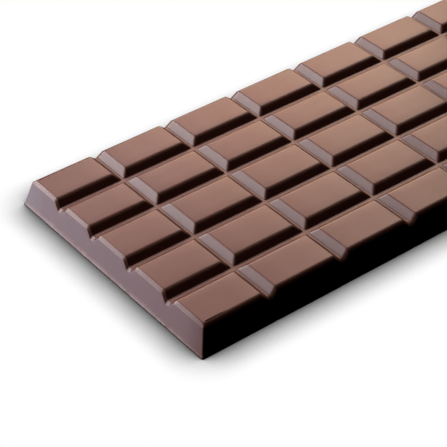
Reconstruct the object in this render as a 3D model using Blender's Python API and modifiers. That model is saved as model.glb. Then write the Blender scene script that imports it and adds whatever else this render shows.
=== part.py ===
"""A moulded chocolate bar, five rows by eight columns of pieces, modelled in metres with Z up.

The bar lies on its flat face at z = 0, its length along X and its width along Y.
"""

import math

import bmesh
import bpy

# Driving dimensions: the pieces
COLUMN_PITCH = 0.0253
COLUMNS = 8
END_COLUMN = 0.0246
# Widths of the rows between their dividing grooves, from the -Y side to the +Y side
ROW_WIDTHS = (0.0180, 0.0178, 0.0176, 0.0163, 0.0173)

# Driving dimensions: the slab
THICKNESS = 0.0088
SIDE_DRAFT = math.radians(15)
# The sloped rim between the pieces' tops and the outer walls
RIM_RUN = 0.00095
RIM_DROP = 0.0008

# Driving dimensions: the grooves between the pieces
GROOVE_DEPTH = 0.0019
GROOVE_WALL_RUN = 0.00205
FLOOR_ALONG = 0.0012
FLOOR_ACROSS = 0.0008

# Driving dimensions: rounded edges, each as the distance from the sharp edge to where the rounding ends
LONG_EDGE_ROUND = 0.0008
SHORT_EDGE_ROUND = 0.0004
FLOOR_EDGE_ROUND = 0.0003
RIM_EDGE_ROUND = 0.0003
BASE_EDGE_ROUND = 0.00025
ROUND_SEGMENTS = 3

LENGTH = 2 * END_COLUMN + (COLUMNS - 2) * COLUMN_PITCH
WIDTH = sum(ROW_WIDTHS)
CUT_CLEARANCE = 0.004


def clear_scene():
    """Removes everything that a new scene comes with."""
    for item in list(bpy.data.objects):
        bpy.data.objects.remove(item, do_unlink=True)


def new_collection(name):
    collection = bpy.data.collections.new(name)
    bpy.context.scene.collection.children.link(collection)
    return collection


def chocolate_material():
    """Plain brown, slightly glossy chocolate."""
    material = bpy.data.materials.new("milk_chocolate")
    material.use_nodes = True
    shader = material.node_tree.nodes["Principled BSDF"]
    shader.inputs["Base Color"].default_value = (0.19, 0.085, 0.055, 1.0)
    shader.inputs["Roughness"].default_value = 0.35
    shader.inputs["Metallic"].default_value = 0.0
    return material


def frustum_block(name, collection, levels):
    """A block of level rectangles, one over the other, joined by sloped walls.

    Each level gives the rectangle's half length, its half width and its height.
    """
    bm = bmesh.new()
    rings = []
    for half_x, half_y, z in levels:
        corners = [(-half_x, -half_y, z), (half_x, -half_y, z), (half_x, half_y, z), (-half_x, half_y, z)]
        rings.append([bm.verts.new(corner) for corner in corners])
    bm.faces.new(rings[0][::-1])
    bm.faces.new(rings[-1])
    for low, high in zip(rings, rings[1:]):
        for side in range(4):
            after = (side + 1) % 4
            bm.faces.new([low[side], low[after], high[after], high[side]])
    mesh = bpy.data.meshes.new(name)
    bm.to_mesh(mesh)
    bm.free()
    block = bpy.data.objects.new(name, mesh)
    collection.objects.link(block)
    return block


def groove_cutter(name, collection, along_x, position):
    """A bar with sloped sides that cuts one groove right across the slab.

    Its slope goes on above the slab's top face by CUT_CLEARANCE, so that no face of it is flush.
    """
    height = GROOVE_DEPTH + CUT_CLEARANCE
    spread = GROOVE_WALL_RUN / GROOVE_DEPTH * height
    floor_z = THICKNESS - GROOVE_DEPTH
    if along_x:
        reach = LENGTH / 2 + CUT_CLEARANCE
        levels = [(reach, FLOOR_ALONG / 2, 0.0), (reach, FLOOR_ALONG / 2 + spread, height)]
        place = (0.0, position, floor_z)
    else:
        reach = WIDTH / 2 + CUT_CLEARANCE
        levels = [(FLOOR_ACROSS / 2, reach, 0.0), (FLOOR_ACROSS / 2 + spread, reach, height)]
        place = (position, 0.0, floor_z)
    cutter = frustum_block(name, collection, levels)
    cutter.location = place
    cutter.hide_render = True
    cutter.display_type = "WIRE"
    return cutter


def groove_positions():
    """The centre lines of the grooves: x of those across the bar, y of those along it."""
    first_column = -LENGTH / 2 + END_COLUMN
    across = [first_column + step * COLUMN_PITCH for step in range(COLUMNS - 1)]
    along = []
    edge = -WIDTH / 2
    for row_width in ROW_WIDTHS[:-1]:
        edge += row_width
        along.append(edge)
    return across, along


def cut_slab(parts, cutters):
    """The drafted slab with every groove cut out of it, as one plain mesh object."""
    rim_z = THICKNESS - RIM_DROP
    lean = rim_z * math.tan(SIDE_DRAFT)
    levels = [
        (LENGTH / 2, WIDTH / 2, 0.0),
        (LENGTH / 2 - lean, WIDTH / 2 - lean, rim_z),
        (LENGTH / 2 - lean - RIM_RUN, WIDTH / 2 - lean - RIM_RUN, THICKNESS),
    ]
    slab = frustum_block("chocolate_bar", parts, levels)
    across, along = groove_positions()
    for index, x in enumerate(across):
        groove_cutter(f"cutter_across_{index + 1}", cutters, False, x)
    for index, y in enumerate(along):
        groove_cutter(f"cutter_along_{index + 1}", cutters, True, y)
    cut = slab.modifiers.new("grooves", "BOOLEAN")
    cut.operation = "DIFFERENCE"
    cut.operand_type = "COLLECTION"
    cut.collection = cutters
    cut.solver = "EXACT"
    graph = bpy.context.evaluated_depsgraph_get()
    grooved = bpy.data.meshes.new_from_object(slab.evaluated_get(graph))
    slab.modifiers.clear()
    slab.data = grooved
    grooved.name = "chocolate_bar"
    return slab


def on_rim(edge):
    """Whether an edge bounds the sloped rim along its upper or its lower side."""
    lean = (THICKNESS - RIM_DROP) * math.tan(SIDE_DRAFT)
    for inset in (lean, lean + RIM_RUN):
        for axis, extent in ((0, LENGTH), (1, WIDTH)):
            if all(abs(abs(vertex.co[axis]) - (extent / 2 - inset)) < 0.00002 for vertex in edge.verts):
                return all(vertex.co.z > THICKNESS - GROOVE_DEPTH for vertex in edge.verts)
    return False


def edge_round(edge):
    """The rounding of one edge in metres: none for edges inside a flat face."""
    if len(edge.link_faces) != 2:
        return 0.0
    angle = edge.calc_face_angle_signed()
    if abs(angle) < math.radians(20):
        return 0.0
    if all(vertex.co.z < 0.0001 for vertex in edge.verts):
        return BASE_EDGE_ROUND
    if angle < 0:
        return FLOOR_EDGE_ROUND
    if on_rim(edge):
        return RIM_EDGE_ROUND
    run = edge.verts[1].co - edge.verts[0].co
    if abs(run.x) > 20 * max(abs(run.y), abs(run.z)):
        return LONG_EDGE_ROUND
    return SHORT_EDGE_ROUND


def round_edges(slab):
    """Rounds the pieces' edges, and the feet of the grooves and the base edge less."""
    bm = bmesh.new()
    bm.from_mesh(slab.data)
    bmesh.ops.remove_doubles(bm, verts=bm.verts, dist=0.00001)
    bmesh.ops.dissolve_limit(bm, angle_limit=math.radians(0.5), verts=bm.verts, edges=bm.edges)
    weights = bm.edges.layers.float.new("bevel_weight_edge")
    bm.normal_update()
    for edge in bm.edges:
        edge[weights] = edge_round(edge) / LONG_EDGE_ROUND
    bm.to_mesh(slab.data)
    bm.free()
    bevel = slab.modifiers.new("rounded_edges", "BEVEL")
    bevel.limit_method = "WEIGHT"
    bevel.offset_type = "OFFSET"
    bevel.width = LONG_EDGE_ROUND
    bevel.segments = ROUND_SEGMENTS
    bevel.use_clamp_overlap = True
    bevel.harden_normals = False


def build():
    clear_scene()
    parts = new_collection("chocolate_bar_parts")
    cutters = new_collection("groove_cutters")
    cutters.hide_render = True
    slab = cut_slab(parts, cutters)
    round_edges(slab)
    slab.data.materials.clear()
    slab.data.materials.append(chocolate_material())
    slab.data.shade_smooth()


build()
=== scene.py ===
"""A moulded chocolate bar lying on a pale table, seen from above its front left corner.

All lengths are in metres, in the part's own frame: X along the bar, Y across it, Z up, with the bar's flat
underside on z = 0.
"""

import logging
import math
from dataclasses import dataclass
from enum import Enum

import bpy
import numpy as np
from mathutils import Matrix, Vector


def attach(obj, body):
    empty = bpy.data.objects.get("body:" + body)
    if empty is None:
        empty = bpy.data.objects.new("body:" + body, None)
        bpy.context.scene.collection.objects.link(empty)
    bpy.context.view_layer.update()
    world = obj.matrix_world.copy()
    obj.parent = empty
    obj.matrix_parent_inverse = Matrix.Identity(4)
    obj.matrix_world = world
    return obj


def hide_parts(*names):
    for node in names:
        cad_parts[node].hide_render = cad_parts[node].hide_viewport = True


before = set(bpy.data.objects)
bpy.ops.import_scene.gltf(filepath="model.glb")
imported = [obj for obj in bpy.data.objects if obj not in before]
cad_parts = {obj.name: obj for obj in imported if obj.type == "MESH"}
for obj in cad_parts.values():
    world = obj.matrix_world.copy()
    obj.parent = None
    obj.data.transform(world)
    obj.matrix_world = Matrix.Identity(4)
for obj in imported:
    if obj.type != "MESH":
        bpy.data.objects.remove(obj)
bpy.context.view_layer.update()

log = logging.getLogger("chocolate_bar")

Colour = tuple[float, float, float]


class Lay(Enum):
    """The way that a set of grooves runs."""

    ACROSS = "across the bar, one after each column of pieces"
    ALONG = "along the bar, one after each row of pieces"


@dataclass(frozen=True)
class Groove:
    """The section of the grooves between the pieces.

    Attributes:
        depth: From the pieces' tops to the groove's floor.
        run: Horizontal width of one sloped wall.
        floor_along: Width of the floor of the grooves that run along the bar.
        floor_across: Width of the floor of the grooves that run across it.
        brow_along: Radius that rounds the pieces' long edges.
        brow_across: Radius that rounds the pieces' short edges.
        foot: Radius that fills the corner between a wall and the floor.
    """

    depth: float = 0.0019
    run: float = 0.00205
    floor_along: float = 0.0012
    floor_across: float = 0.0008
    brow_along: float = 0.0022
    brow_across: float = 0.0007
    foot: float = 0.0003

    @property
    def slope(self) -> float:
        """Angle of the walls to the horizontal."""
        return math.atan2(self.depth, self.run)

    def floor(self, lay: Lay) -> float:
        """Width of the flat floor of one set of grooves."""
        return self.floor_along if lay is Lay.ALONG else self.floor_across

    def brow(self, lay: Lay) -> float:
        """Radius of the rounded edges beside one set of grooves."""
        return self.brow_along if lay is Lay.ALONG else self.brow_across

    def drop(self, outside: np.ndarray, brow: np.ndarray) -> np.ndarray:
        """Height of the surface over the pieces' tops, zero or less.

        A level top turns through a circular arc of radius brow into a straight slope, and the slope through
        an arc of radius foot into the level floor. Each arc is tangent to the lines on both sides of it.

        Args:
            outside: Distance outside the line where the top and the wall would meet if they were sharp,
                negative over the piece.
            brow: Radius of the upper arc at each place.

        Returns:
            The height for each distance.
        """
        half_turn = math.tan(self.slope / 2)
        lean = math.sin(self.slope)
        into_brow = outside + brow * half_turn
        into_foot = self.run + self.foot * half_turn - outside
        brow_arc = np.sqrt(np.maximum(brow**2 - into_brow**2, 0.0)) - brow
        foot_arc = self.foot - np.sqrt(np.maximum(self.foot**2 - into_foot**2, 0.0)) - self.depth
        straight = -outside * math.tan(self.slope)
        return np.select(
            [into_brow <= 0.0, into_brow < brow * lean, into_foot > self.foot * lean, into_foot > 0.0],
            [np.zeros_like(outside), brow_arc, straight, foot_arc],
            default=-self.depth,
        )


@dataclass(frozen=True)
class Side:
    """The section of the bar's edge, from the tops over a sloped rim down the outer wall to the underside.

    Attributes:
        draft: Angle of the walls to the vertical, which lets the bar out of its mould.
        rim_run: Horizontal width of the sloped rim.
        rim_drop: Height of the sloped rim.
        end_brow: Radius of the rim's upper edge at the bar's ends.
        side_brow: Radius of the rim's upper edge along the bar's sides.
        shoulder: Radius of the rim's lower edge.
        corner: Radius of the bar's four upright corners.
        lip: How far the poured edge at the underside stands out of the wall.
        lip_height: Height of the top of that edge over the table.
        brow_rings: Rings of points on the rim's upper edge.
        shoulder_rings: Rings of points on its lower edge.
        wall_rings: Rings of points on the straight wall.
        lip_shares: Shares of the lip's height, from its top down, at which it has a ring of points.
        lip_end: Share of the lip's half wave that is reached at the underside.
        lip_waves: Share of the lip that the unevenness adds or takes away.
    """

    draft: float = math.radians(15.0)
    rim_run: float = 0.00095
    rim_drop: float = 0.0008
    end_brow: float = 0.0004
    side_brow: float = 0.0018
    shoulder: float = 0.0004
    corner: float = 0.0005
    lip: float = 0.00022
    lip_height: float = 0.0006
    brow_rings: int = 5
    shoulder_rings: int = 3
    wall_rings: int = 4
    lip_shares: tuple[float, ...] = (0.25, 0.5, 0.75, 0.93, 1.0)
    lip_end: float = 0.92
    lip_waves: float = 0.3

    @property
    def rim_slope(self) -> float:
        """Angle of the rim to the horizontal."""
        return math.atan2(self.rim_drop, self.rim_run)

    def brow_reach(self, brow: np.ndarray | float) -> np.ndarray | float:
        """Distance from the rim's sharp upper edge in to where its rounding starts."""
        return brow * math.tan(self.rim_slope / 2)

    def inset(self, thickness: float, brow: float) -> float:
        """Distance from the wall's line at the table in to where the level top ends."""
        return (thickness - self.rim_drop) * math.tan(self.draft) + self.rim_run + self.brow_reach(brow)

    def rings(self, start: np.ndarray, brow: np.ndarray, waves: np.ndarray) -> tuple[np.ndarray, np.ndarray]:
        """The outward distance and the height of each ring of points, from the end of the level top down.

        The rim's upper edge is an arc of radius brow from level to the rim's slope, its lower edge an arc of
        radius shoulder from that slope to the wall's. Each is tangent to the straight lines beside it. The
        wall is straight down to the lip, and the lip a half sine wave that stands out of it.

        Args:
            start: Height of the top surface at each point where the level top ends.
            brow: Radius of the rim's upper edge at each of these points.
            waves: Unevenness of the lip at each of these points, from -1 to 1.

        Returns:
            Two arrays with one row for each ring and one column for each point: the distance outward from
            the end of the level top, and the height.
        """
        slope, steep = self.rim_slope, math.pi / 2 - self.draft
        turn = np.linspace(0.0, slope, self.brow_rings + 1)[1:, None]
        brow_out = brow * np.sin(turn)
        brow_height = start - brow * (1.0 - np.cos(turn))
        straight_rim = math.hypot(self.rim_run, self.rim_drop) - self.shoulder * math.tan((steep - slope) / 2)
        turn = np.linspace(slope, steep, self.shoulder_rings + 1)[:, None]
        out_start = self.brow_reach(brow) + straight_rim * math.cos(slope)
        shoulder_out = out_start + self.shoulder * (np.sin(turn) - math.sin(slope))
        drop_start = straight_rim * math.sin(slope)
        shoulder_height = start - drop_start - self.shoulder * (math.cos(slope) - np.cos(turn))
        share = np.linspace(0.0, 1.0, self.wall_rings + 1)[1:, None]
        wall_height = shoulder_height[-1] + (self.lip_height - shoulder_height[-1]) * share
        lip_share = np.array(self.lip_shares)[:, None]
        lip_height = self.lip_height * (1.0 - lip_share) + 0.0 * start
        height = np.vstack([wall_height, lip_height])
        below_rim = start - self.rim_drop - height
        wall_line = self.brow_reach(brow) + self.rim_run + below_rim * math.tan(self.draft)
        uneven = 1.0 - self.lip_waves + self.lip_waves * waves
        swell = np.sin(math.pi * self.lip_end * lip_share) * self.lip * uneven
        bulge = np.vstack([0.0 * wall_height, swell])
        out = np.vstack([brow_out, shoulder_out, wall_line + bulge])
        return out, np.vstack([brow_height, shoulder_height, height])


@dataclass(frozen=True)
class MouldedChocolate:
    """Satin milk chocolate with the faint clouding and fine marks of a mould.

    Attributes:
        name: The material's name.
        dark: Colour of the deeper clouds.
        light: Colour of the paler clouds.
        roughness: Roughness of the moulded faces.
        cloud_size: Distance between the clouds.
        ripple_size: Distance between the low waves of the surface.
        ripple_height: Height of those waves.
        polish: How far the roughness goes up and down with the clouds.
        ior: Index of refraction.
    """

    name: str = "satin_milk_chocolate"
    dark: Colour = (0.112, 0.045, 0.031)
    light: Colour = (0.128, 0.051, 0.036)
    roughness: float = 0.33
    cloud_size: float = 0.012
    ripple_size: float = 0.004
    ripple_height: float = 0.00002
    polish: float = 0.03
    ior: float = 1.5

    def material(self) -> bpy.types.Material:
        """Builds the node tree.

        Returns:
            The finished material.
        """
        made = bpy.data.materials.new(self.name)
        made.use_nodes = True
        tree = made.node_tree
        shader = tree.nodes["Principled BSDF"]
        place = tree.nodes.new("ShaderNodeTexCoord")
        clouds = tree.nodes.new("ShaderNodeTexNoise")
        clouds.inputs["Scale"].default_value = 1.0 / self.cloud_size
        clouds.inputs["Detail"].default_value = 4.0
        clouds.inputs["Roughness"].default_value = 0.55
        tree.links.new(place.outputs["Object"], clouds.inputs["Vector"])
        tint = tree.nodes.new("ShaderNodeValToRGB")
        tint.color_ramp.elements[0].position = 0.35
        tint.color_ramp.elements[0].color = (*self.dark, 1.0)
        tint.color_ramp.elements[1].position = 0.65
        tint.color_ramp.elements[1].color = (*self.light, 1.0)
        tree.links.new(clouds.outputs["Fac"], tint.inputs["Fac"])
        tree.links.new(tint.outputs["Color"], shader.inputs["Base Color"])
        polish = tree.nodes.new("ShaderNodeMapRange")
        polish.inputs["To Min"].default_value = self.roughness - self.polish
        polish.inputs["To Max"].default_value = self.roughness + self.polish
        tree.links.new(clouds.outputs["Fac"], polish.inputs["Value"])
        tree.links.new(polish.outputs["Result"], shader.inputs["Roughness"])
        ripples = tree.nodes.new("ShaderNodeTexNoise")
        ripples.inputs["Scale"].default_value = 1.0 / self.ripple_size
        ripples.inputs["Detail"].default_value = 3.0
        tree.links.new(place.outputs["Object"], ripples.inputs["Vector"])
        bump = tree.nodes.new("ShaderNodeBump")
        bump.inputs["Strength"].default_value = 1.0
        bump.inputs["Distance"].default_value = self.ripple_height
        tree.links.new(ripples.outputs["Fac"], bump.inputs["Height"])
        tree.links.new(bump.outputs["Normal"], shader.inputs["Normal"])
        shader.inputs["IOR"].default_value = self.ior
        return made


@dataclass
class ChocolateBar:
    """The bar: five rows of pieces by eight columns, moulded in one.

    Attributes:
        row_widths: Widths of the rows from the -Y side to the +Y side, between the grooves' middles.
        column_pitch: Distance between the middles of the grooves across the bar.
        end_column: Width of the first and the last column, from the outer edge at the table.
        columns: Number of columns.
        thickness: Height of the pieces' tops over the table.
        trim: How far the base edge stays inside the sharp one.
        mitre: Width over which two walls of a piece blend at its corners.
        foot_lines: How far the grid's close lines reach from a groove's foot onto its floor and its wall.
        piece_lines: Parts into which the grid divides the level top of a piece.
        corner_lines: Parts into which it divides the bar's rounded corners.
        lip_wave_counts: Number of waves round the bar in each wave of the lip.
        lip_wave_phases: Phase of each of these waves.
        groove: The grooves' section.
        side: The outer edge's section.
    """

    row_widths: tuple[float, ...] = (0.0180, 0.0178, 0.0176, 0.0163, 0.0173)
    column_pitch: float = 0.0253
    end_column: float = 0.0246
    columns: int = 8
    thickness: float = 0.0088
    trim: float = 0.00003
    mitre: float = 0.0006
    foot_lines: tuple[float, float] = (0.00012, 0.0002)
    piece_lines: int = 3
    corner_lines: int = 3
    lip_wave_counts: tuple[int, ...] = (23, 41, 67)
    lip_wave_phases: tuple[float, ...] = (0.4, 2.1, 4.4)
    groove: Groove = Groove()
    side: Side = Side()

    @property
    def size(self) -> tuple[float, float]:
        """Length and width at the table."""
        return 2 * self.end_column + (self.columns - 2) * self.column_pitch, sum(self.row_widths)

    @property
    def half_top(self) -> tuple[float, float]:
        """Half the length and half the width of the level top."""
        length, width = self.size
        base = self.trim + self.side.lip
        end = self.side.inset(self.thickness, self.side.end_brow)
        side = self.side.inset(self.thickness, self.side.side_brow)
        return length / 2 - base - end, width / 2 - base - side

    def grooves(self, lay: Lay) -> np.ndarray:
        """Middle lines of one set of grooves.

        Args:
            lay: Which set.

        Returns:
            Their x where they run across the bar, or their y where they run along it.
        """
        length, width = self.size
        if lay is Lay.ACROSS:
            return -length / 2 + self.end_column + self.column_pitch * np.arange(self.columns - 1)
        return -width / 2 + np.cumsum(self.row_widths[:-1])

    def grid_lines(self, lay: Lay) -> np.ndarray:
        """Positions of the grid's lines along one axis, close together where the surface turns.

        Args:
            lay: The set of grooves that the lines follow.

        Returns:
            The sorted positions.
        """
        edge = self.half_top[0] if lay is Lay.ACROSS else self.half_top[1]
        groove = self.groove
        foot = groove.floor(lay) / 2
        brow = groove.brow(lay) * math.tan(groove.slope / 2)
        top = foot + groove.run
        on_floor, on_wall = self.foot_lines
        steps = np.concatenate(
            [
                [0.0, foot - on_floor],
                np.linspace(foot, foot + on_wall, 3),
                np.linspace(foot + on_wall, top - brow, 5)[1:],
                np.linspace(top - brow, top + brow, 7)[1:],
            ]
        )
        around = np.concatenate([-steps[:0:-1], steps])
        middles = self.grooves(lay)
        near_grooves = (middles[:, None] + around[None, :]).ravel()
        rim = edge - self.side.corner * np.linspace(0.0, 1.0, self.corner_lines + 1)
        ends = np.concatenate([[-edge], middles, [edge]])
        share = np.linspace(0.0, 1.0, self.piece_lines + 1)[1:-1]
        low = ends[:-1] + steps[-1]
        high = ends[1:] - steps[-1]
        between = (low[:, None] + (high - low)[:, None] * share[None, :]).ravel()
        return np.unique(np.round(np.concatenate([near_grooves, rim, -rim, between]), 7))

    def outside(self, places: np.ndarray, lay: Lay) -> np.ndarray:
        """Distance from each place to the nearest wall's top line, negative over a piece.

        Args:
            places: Positions along the axis that the grooves divide.
            lay: The set of grooves.

        Returns:
            Half the groove's mouth less the distance to its middle, taken at the nearest groove.
        """
        mouth = self.groove.floor(lay) / 2 + self.groove.run
        return mouth - np.abs(places[:, None] - self.grooves(lay)[None, :]).min(axis=1)

    def top_height(self, along: np.ndarray, across: np.ndarray) -> np.ndarray:
        """Height of the top surface over a grid of places.

        The two sets of grooves give two distances outside a piece. Where both apply, the larger counts, and
        a quadratic blend over the width mitre rounds the line where they are equal. The groove's section
        then turns the distance into a height, with the brow of the set that counts.

        Args:
            along: Positions of the grid's lines along X.
            across: Positions of the grid's lines along Y.

        Returns:
            The heights, one row for each line across.
        """
        by_column = self.outside(along, Lay.ACROSS)[None, :]
        by_row = self.outside(across, Lay.ALONG)[:, None]
        near = np.maximum(self.mitre - np.abs(by_column - by_row), 0.0) / self.mitre
        distance = np.maximum(by_column, by_row) + near**2 * self.mitre / 4
        share = np.clip((by_row - by_column) / self.groove.brow_along + 0.5, 0.0, 1.0)
        share = share * share * (3.0 - 2.0 * share)
        brow = self.groove.brow_across + (self.groove.brow_along - self.groove.brow_across) * share
        return self.thickness + self.groove.drop(distance, brow)

    def spread(
        self, x: np.ndarray, y: np.ndarray, out_x: np.ndarray, out_y: np.ndarray
    ) -> tuple[np.ndarray, np.ndarray]:
        """Moves points of the top outwards, with the bar's upright corners rounded.

        A point beyond the corner's square on one axis alone moves along that axis. A point in the square is
        scaled about the square's inner corner, by its larger coordinate over its distance, which turns the
        square's outer sides into a quarter circle.

        Args:
            x: Positions along X.
            y: Positions along Y.
            out_x: Distance outward along X for each point.
            out_y: Distance outward along Y for each point.

        Returns:
            The moved positions along X and along Y.
        """
        half, corner = self.half_top, self.side.corner
        over_x = np.abs(x) - (half[0] - corner)
        over_y = np.abs(y) - (half[1] - corner)
        share_x = np.clip(over_x / corner, 0.0, None)
        share_y = np.clip(over_y / corner, 0.0, None)
        reach = np.maximum(np.hypot(share_x, share_y), 1e-9)
        scale = np.where((share_x > 0) & (share_y > 0), np.maximum(share_x, share_y) / reach, 1.0)
        new_x = np.where(over_x > -1e-9, half[0] - corner + corner * share_x * scale + out_x, np.abs(x))
        new_y = np.where(over_y > -1e-9, half[1] - corner + corner * share_y * scale + out_y, np.abs(y))
        return np.sign(x) * new_x, np.sign(y) * new_y

    def rim_brow(self, x: np.ndarray, y: np.ndarray) -> np.ndarray:
        """Radius of the rim's upper edge, which goes from the ends' to the sides' round each corner.

        Args:
            x: Positions along X of points on the edge of the level top.
            y: Their positions along Y.

        Returns:
            The radius at each point.
        """
        half, corner = self.half_top, self.side.corner
        over_x = np.clip((np.abs(x) - (half[0] - corner)) / corner, 0.0, 1.0)
        over_y = np.clip((np.abs(y) - (half[1] - corner)) / corner, 0.0, 1.0)
        share = np.arctan2(over_y, over_x) / (math.pi / 2)
        return self.side.end_brow + (self.side.side_brow - self.side.end_brow) * share

    def build(self) -> bpy.types.Object:
        """Makes the bar as one closed surface.

        A grid makes the top, rings of points the rim and the outer walls, and a second grid the underside.
        The lip's unevenness is the mean of three sine waves round the bar.

        Returns:
            The object, at the origin.
        """
        side = self.side
        along, across = self.grid_lines(Lay.ACROSS), self.grid_lines(Lay.ALONG)
        height = self.top_height(along, across)
        grid_x, grid_y = np.meshgrid(along, across)
        rows, columns = height.shape
        index = np.arange(rows * columns).reshape(rows, columns)
        rim = np.concatenate([index[0, :-1], index[:-1, -1], index[-1, :0:-1], index[:0:-1, 0]])

        flat_x, flat_y, flat_z = grid_x.ravel(), grid_y.ravel(), height.ravel()
        brow = self.rim_brow(flat_x[rim], flat_y[rim])
        lowered = (self.thickness - flat_z[rim]) * math.tan(side.draft) - side.brow_reach(brow)
        shift_x, shift_y = np.zeros(flat_x.size), np.zeros(flat_x.size)
        shift_x[rim] = lowered + side.brow_reach(side.end_brow)
        shift_y[rim] = lowered + side.brow_reach(side.side_brow)
        top_x, top_y = self.spread(flat_x, flat_y, shift_x, shift_y)
        top = np.column_stack([top_x, top_y, flat_z])

        walk = np.arange(rim.size) / rim.size * 2 * math.pi
        counts, phases = np.array(self.lip_wave_counts), np.array(self.lip_wave_phases)
        waves = np.sin(counts[:, None] * walk + phases[:, None]).mean(axis=0)
        out, ring_height = side.rings(flat_z[rim], brow, waves)
        ring_x, ring_y = self.spread(
            np.broadcast_to(flat_x[rim], out.shape),
            np.broadcast_to(flat_y[rim], out.shape),
            out + shift_x[rim],
            out + shift_y[rim],
        )
        rings = np.column_stack([ring_x.ravel(), ring_y.ravel(), ring_height.ravel()])

        inner = index[1:-1, 1:-1].ravel()
        under = np.column_stack([flat_x[inner], flat_y[inner], 0.0 * inner])

        ring_index = np.vstack([rim, top.shape[0] + np.arange(out.size).reshape(out.shape)])
        under_index = np.empty_like(index)
        first_under = top.shape[0] + out.size
        under_index[1:-1, 1:-1] = first_under + np.arange(inner.size).reshape(rows - 2, columns - 2)
        under_index.ravel()[rim] = ring_index[-1]
        after = np.roll(ring_index, -1, axis=1)
        faces = np.vstack(
            [
                quads(index[:-1, :-1], index[:-1, 1:], index[1:, 1:], index[1:, :-1]),
                quads(ring_index[:-1], ring_index[1:], after[1:], after[:-1]),
                quads(under_index[:-1, :-1], under_index[1:, :-1], under_index[1:, 1:], under_index[:-1, 1:]),
            ]
        )
        return mesh_object("moulded_bar", np.vstack([top, rings, under]), faces)

    def dress(self, bar: bpy.types.Object, finish: MouldedChocolate) -> None:
        """Gives the bar its finish and its place in the frame.

        Args:
            bar: The built object.
            finish: The chocolate's finish.
        """
        bar.data.materials.append(finish.material())
        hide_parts("chocolate_bar")
        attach(bar, "root")


def quads(*corners: np.ndarray) -> np.ndarray:
    """Four arrays of corner indices as one row of four for each face."""
    return np.column_stack([corner.ravel() for corner in corners])


def mesh_object(name: str, points: np.ndarray, faces: np.ndarray) -> bpy.types.Object:
    """Puts computed points and four-sided faces into a smooth mesh object.

    Args:
        name: Name of the object and its mesh.
        points: One row of x, y and z for each point.
        faces: One row of four point indices for each face, anticlockwise seen from outside.

    Returns:
        The object, linked to the scene.
    """
    mesh = bpy.data.meshes.new(name)
    mesh.vertices.add(len(points))
    mesh.vertices.foreach_set("co", points.astype(np.float32).ravel())
    mesh.loops.add(faces.size)
    mesh.loops.foreach_set("vertex_index", faces.astype(np.int32).ravel())
    mesh.polygons.add(len(faces))
    mesh.polygons.foreach_set("loop_start", np.arange(0, faces.size, 4, dtype=np.int32))
    mesh.update(calc_edges=True)
    mesh.validate()
    mesh.shade_smooth()
    made = bpy.data.objects.new(name, mesh)
    bpy.context.scene.collection.objects.link(made)
    return made


@dataclass(frozen=True)
class Softbox:
    """A square soft light that faces the bar.

    Attributes:
        name: The light's name.
        azimuth: Its direction from the bar in degrees, zero towards +Y and ninety towards +X.
        elevation: Its height over the table in degrees.
        power: Its power in watts.
        colour: Its colour.
        distance: From the point that it faces.
        size: Length of its sides.
        aim: The point that it faces.
    """

    name: str
    azimuth: float
    elevation: float
    power: float
    colour: Colour = (1.0, 1.0, 1.0)
    distance: float = 0.9
    size: float = 0.4
    aim: tuple[float, float, float] = (-0.03, 0.0, 0.0)

    def build(self) -> bpy.types.Object:
        """Makes the light, turned to face its aim."""
        azimuth, elevation = math.radians(self.azimuth), math.radians(self.elevation)
        level = math.cos(elevation)
        away = Vector((math.sin(azimuth) * level, math.cos(azimuth) * level, math.sin(elevation)))
        lamp = bpy.data.lights.new(self.name, "AREA")
        lamp.shape = "SQUARE"
        lamp.size = self.size
        lamp.energy = self.power
        lamp.color = self.colour
        made = bpy.data.objects.new(self.name, lamp)
        made.location = Vector(self.aim) + away * self.distance
        made.rotation_mode = "QUATERNION"
        made.rotation_quaternion = away.to_track_quat("Z", "Y")
        bpy.context.scene.collection.objects.link(made)
        return made


@dataclass(frozen=True)
class Viewpoint:
    """Where the photograph was taken from.

    Attributes:
        aim: The point on the bar at the middle of the picture.
        distance: From that point to the lens.
        azimuth: Direction of the view, zero along +Y and positive towards -X of the bar.
        elevation: Height of the camera over the horizon.
        roll: Turn of the picture about the line of sight.
        lens: Focal length for a picture 36 mm wide.
    """

    aim: tuple[float, float, float] = (-0.06829, -0.01105, 0.0098)
    distance: float = 0.46248
    azimuth: float = math.radians(-36.94)
    elevation: float = math.radians(37.822)
    roll: float = math.radians(-1.274)
    lens: float = 134.33

    def build(self) -> bpy.types.Object:
        """Makes the camera and gives it to the scene."""
        level, rise = math.cos(self.elevation), math.sin(self.elevation)
        back = Vector((math.sin(self.azimuth) * level, -math.cos(self.azimuth) * level, rise))
        data = bpy.data.cameras.new("photograph")
        data.sensor_width = 36.0
        data.lens = self.lens
        data.clip_start, data.clip_end = 0.01, 20.0
        made = bpy.data.objects.new("photograph", data)
        turn = back.to_track_quat("Z", "Y").to_matrix() @ Matrix.Rotation(self.roll, 3, "Z")
        made.matrix_world = Matrix.Translation(Vector(self.aim) + back * self.distance) @ turn.to_4x4()
        bpy.context.scene.collection.objects.link(made)
        bpy.context.scene.camera = made
        return made


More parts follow.
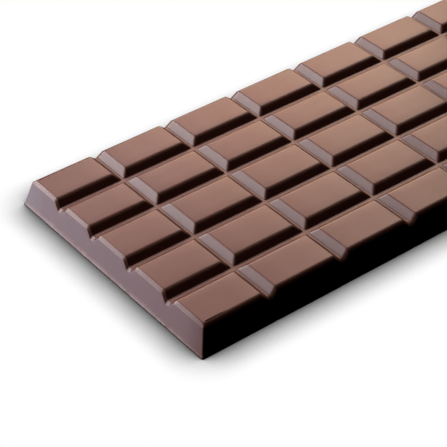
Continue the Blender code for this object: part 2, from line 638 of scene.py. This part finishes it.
@dataclass
class Studio:
    """The pale table, the soft lights and the camera.

    Attributes:
        table_size: Side of the square table.
        table_height: Its height, just under the bar so that the two faces don't coincide.
        table_colour: Its colour.
        shade_reach: How far the painted shadow round the bar reaches over the table.
        shade_floor: Open part of the sky at which the painted shadow is black.
        shade_power: How fast the painted shadow deepens towards the bar.
        softboxes: The lights.
        viewpoint: The camera.
    """

    table_size: float = 6.0
    table_height: float = -0.00005
    table_colour: Colour = (1.0, 1.0, 1.0)
    shade_reach: float = 0.011
    shade_floor: float = 0.55
    shade_power: float = 1.3
    softboxes: tuple[Softbox, ...] = (
        Softbox("back_left", 338.0, 31.0, 4.32, (1.0, 0.9, 0.89)),
        Softbox("back_low", 37.0, 22.0, 2.29, (1.0, 0.65, 0.44)),
        Softbox("left_key", 318.0, 31.0, 1.71, (1.0, 0.86, 0.91)),
        Softbox("left_below", 311.0, -17.0, 1.19, (0.92, 0.82, 1.0)),
        Softbox("back_left_below", 332.0, -17.0, 1.17, (0.46, 0.75, 1.0)),
        Softbox("left_near", 318.0, 12.0, 0.83, (1.0, 0.92, 0.98), 0.35, 0.2, (-0.1, 0.0, 0.0)),
        Softbox("back_right", 56.0, 38.0, 0.84, (1.0, 0.99, 0.81)),
        Softbox("back_key", 37.0, 38.0, 1.08, (1.0, 0.46, 0.42)),
        Softbox("back", 18.0, 38.0, 0.58, (0.92, 0.86, 1.0)),
    )
    viewpoint: Viewpoint = Viewpoint()

    def table(self) -> bpy.types.Object:
        """Makes the table top, a plain pale sheet with its own even light.

        The light falls off close to the bar in a painted shadow, which the lamps do not cast: the part of the
        sky that is open over a place, rescaled from shade_floor to 1 and raised to shade_power, is its
        strength.
        """
        reach = self.table_size / 2
        corners = np.array([[-1.0, -1.0], [1.0, -1.0], [1.0, 1.0], [-1.0, 1.0]]) * reach
        points = np.column_stack([corners, np.full(4, self.table_height)])
        made = mesh_object("table", points, np.array([[0, 1, 2, 3]]))
        finish = bpy.data.materials.new("pale_table")
        finish.use_nodes = True
        tree = finish.node_tree
        shader = tree.nodes["Principled BSDF"]
        shader.inputs["Base Color"].default_value = (0.0, 0.0, 0.0, 1.0)
        shader.inputs["Specular IOR Level"].default_value = 0.0
        shader.inputs["Roughness"].default_value = 1.0
        shader.inputs["Emission Color"].default_value = (*self.table_colour, 1.0)
        # Painted shadow: the table's glow dims where the bar closes off the sky above it.
        near = tree.nodes.new("ShaderNodeAmbientOcclusion")
        near.samples = 16
        near.inputs["Distance"].default_value = self.shade_reach
        fade = tree.nodes.new("ShaderNodeMapRange")
        fade.inputs["From Min"].default_value = self.shade_floor
        tree.links.new(near.outputs["AO"], fade.inputs["Value"])
        ease = tree.nodes.new("ShaderNodeMath")
        ease.operation = "POWER"
        ease.inputs[1].default_value = self.shade_power
        tree.links.new(fade.outputs["Result"], ease.inputs[0])
        tree.links.new(ease.outputs["Value"], shader.inputs["Emission Strength"])
        made.data.materials.append(finish)
        made.visible_diffuse = False
        made.visible_glossy = False
        made.visible_shadow = False
        return made

    def surround(self) -> None:
        """Makes the room beyond the table dark, so that the soft lights alone light the bar."""
        world = bpy.data.worlds.new("studio")
        world.use_nodes = True
        world.node_tree.nodes["Background"].inputs["Strength"].default_value = 0.0
        bpy.context.scene.world = world

    def build(self) -> None:
        """Makes the table, the lights and the camera."""
        self.table()
        self.surround()
        for softbox in self.softboxes:
            softbox.build()
            log.info("light %s", softbox.name)
        self.viewpoint.build()
        bpy.context.scene.view_settings.view_transform = "Standard"


def main() -> None:
    """Builds the bar and the studio."""
    logging.basicConfig(level=logging.INFO, format="%(name)s: %(message)s")
    bar = ChocolateBar()
    moulded = bar.build()
    bar.dress(moulded, MouldedChocolate())
    mesh = moulded.data
    log.info("%s: %d points, %d faces", moulded.name, len(mesh.vertices), len(mesh.polygons))
    Studio().build()


if __name__ == "__main__":
    main()
